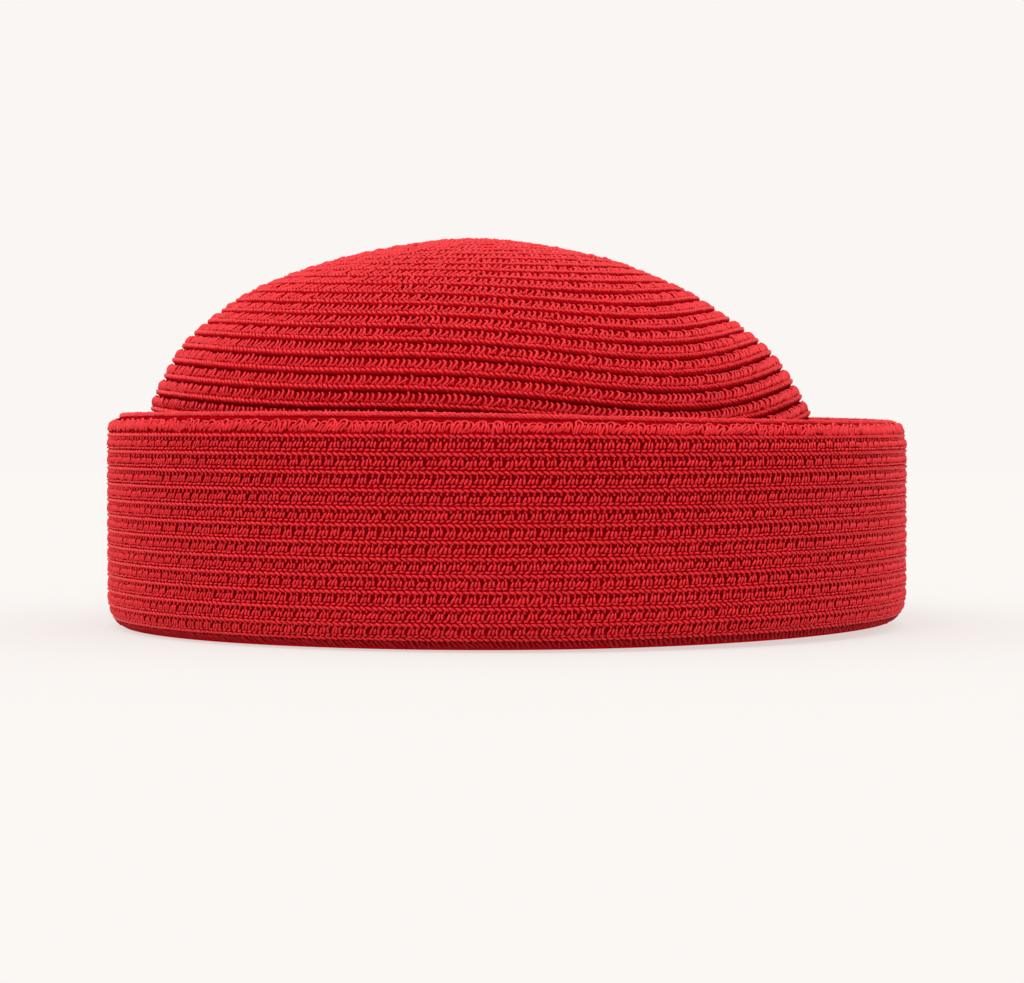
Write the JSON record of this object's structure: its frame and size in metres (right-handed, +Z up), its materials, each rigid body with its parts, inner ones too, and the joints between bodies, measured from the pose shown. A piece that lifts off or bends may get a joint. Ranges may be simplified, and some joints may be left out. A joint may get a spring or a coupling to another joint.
{
  "type": "cuffed braid hat",
  "caption": "Close-fitting hat of lapped sewn braid: a domed oval crown inside a tall upright cuff, turned up all the way round, with a rounded rim.",
  "frame": {"origin": "centre of the hat's box on the surface that it rests on", "axes": "+X along the hat's length, away from the side that the dome sits nearer to, +Y across it, +Z up to the tip of the crown"},
  "size_m": [0.227, 0.196, 0.11],
  "materials": {
    "crown_braid": "matt red sewn braid",
    "cuff_braid": "matt red sewn braid"
  },
  "bodies": {
    "root": {"crown": "crown_braid", "cuff": "cuff_braid"}
  },
  "joints": []
}
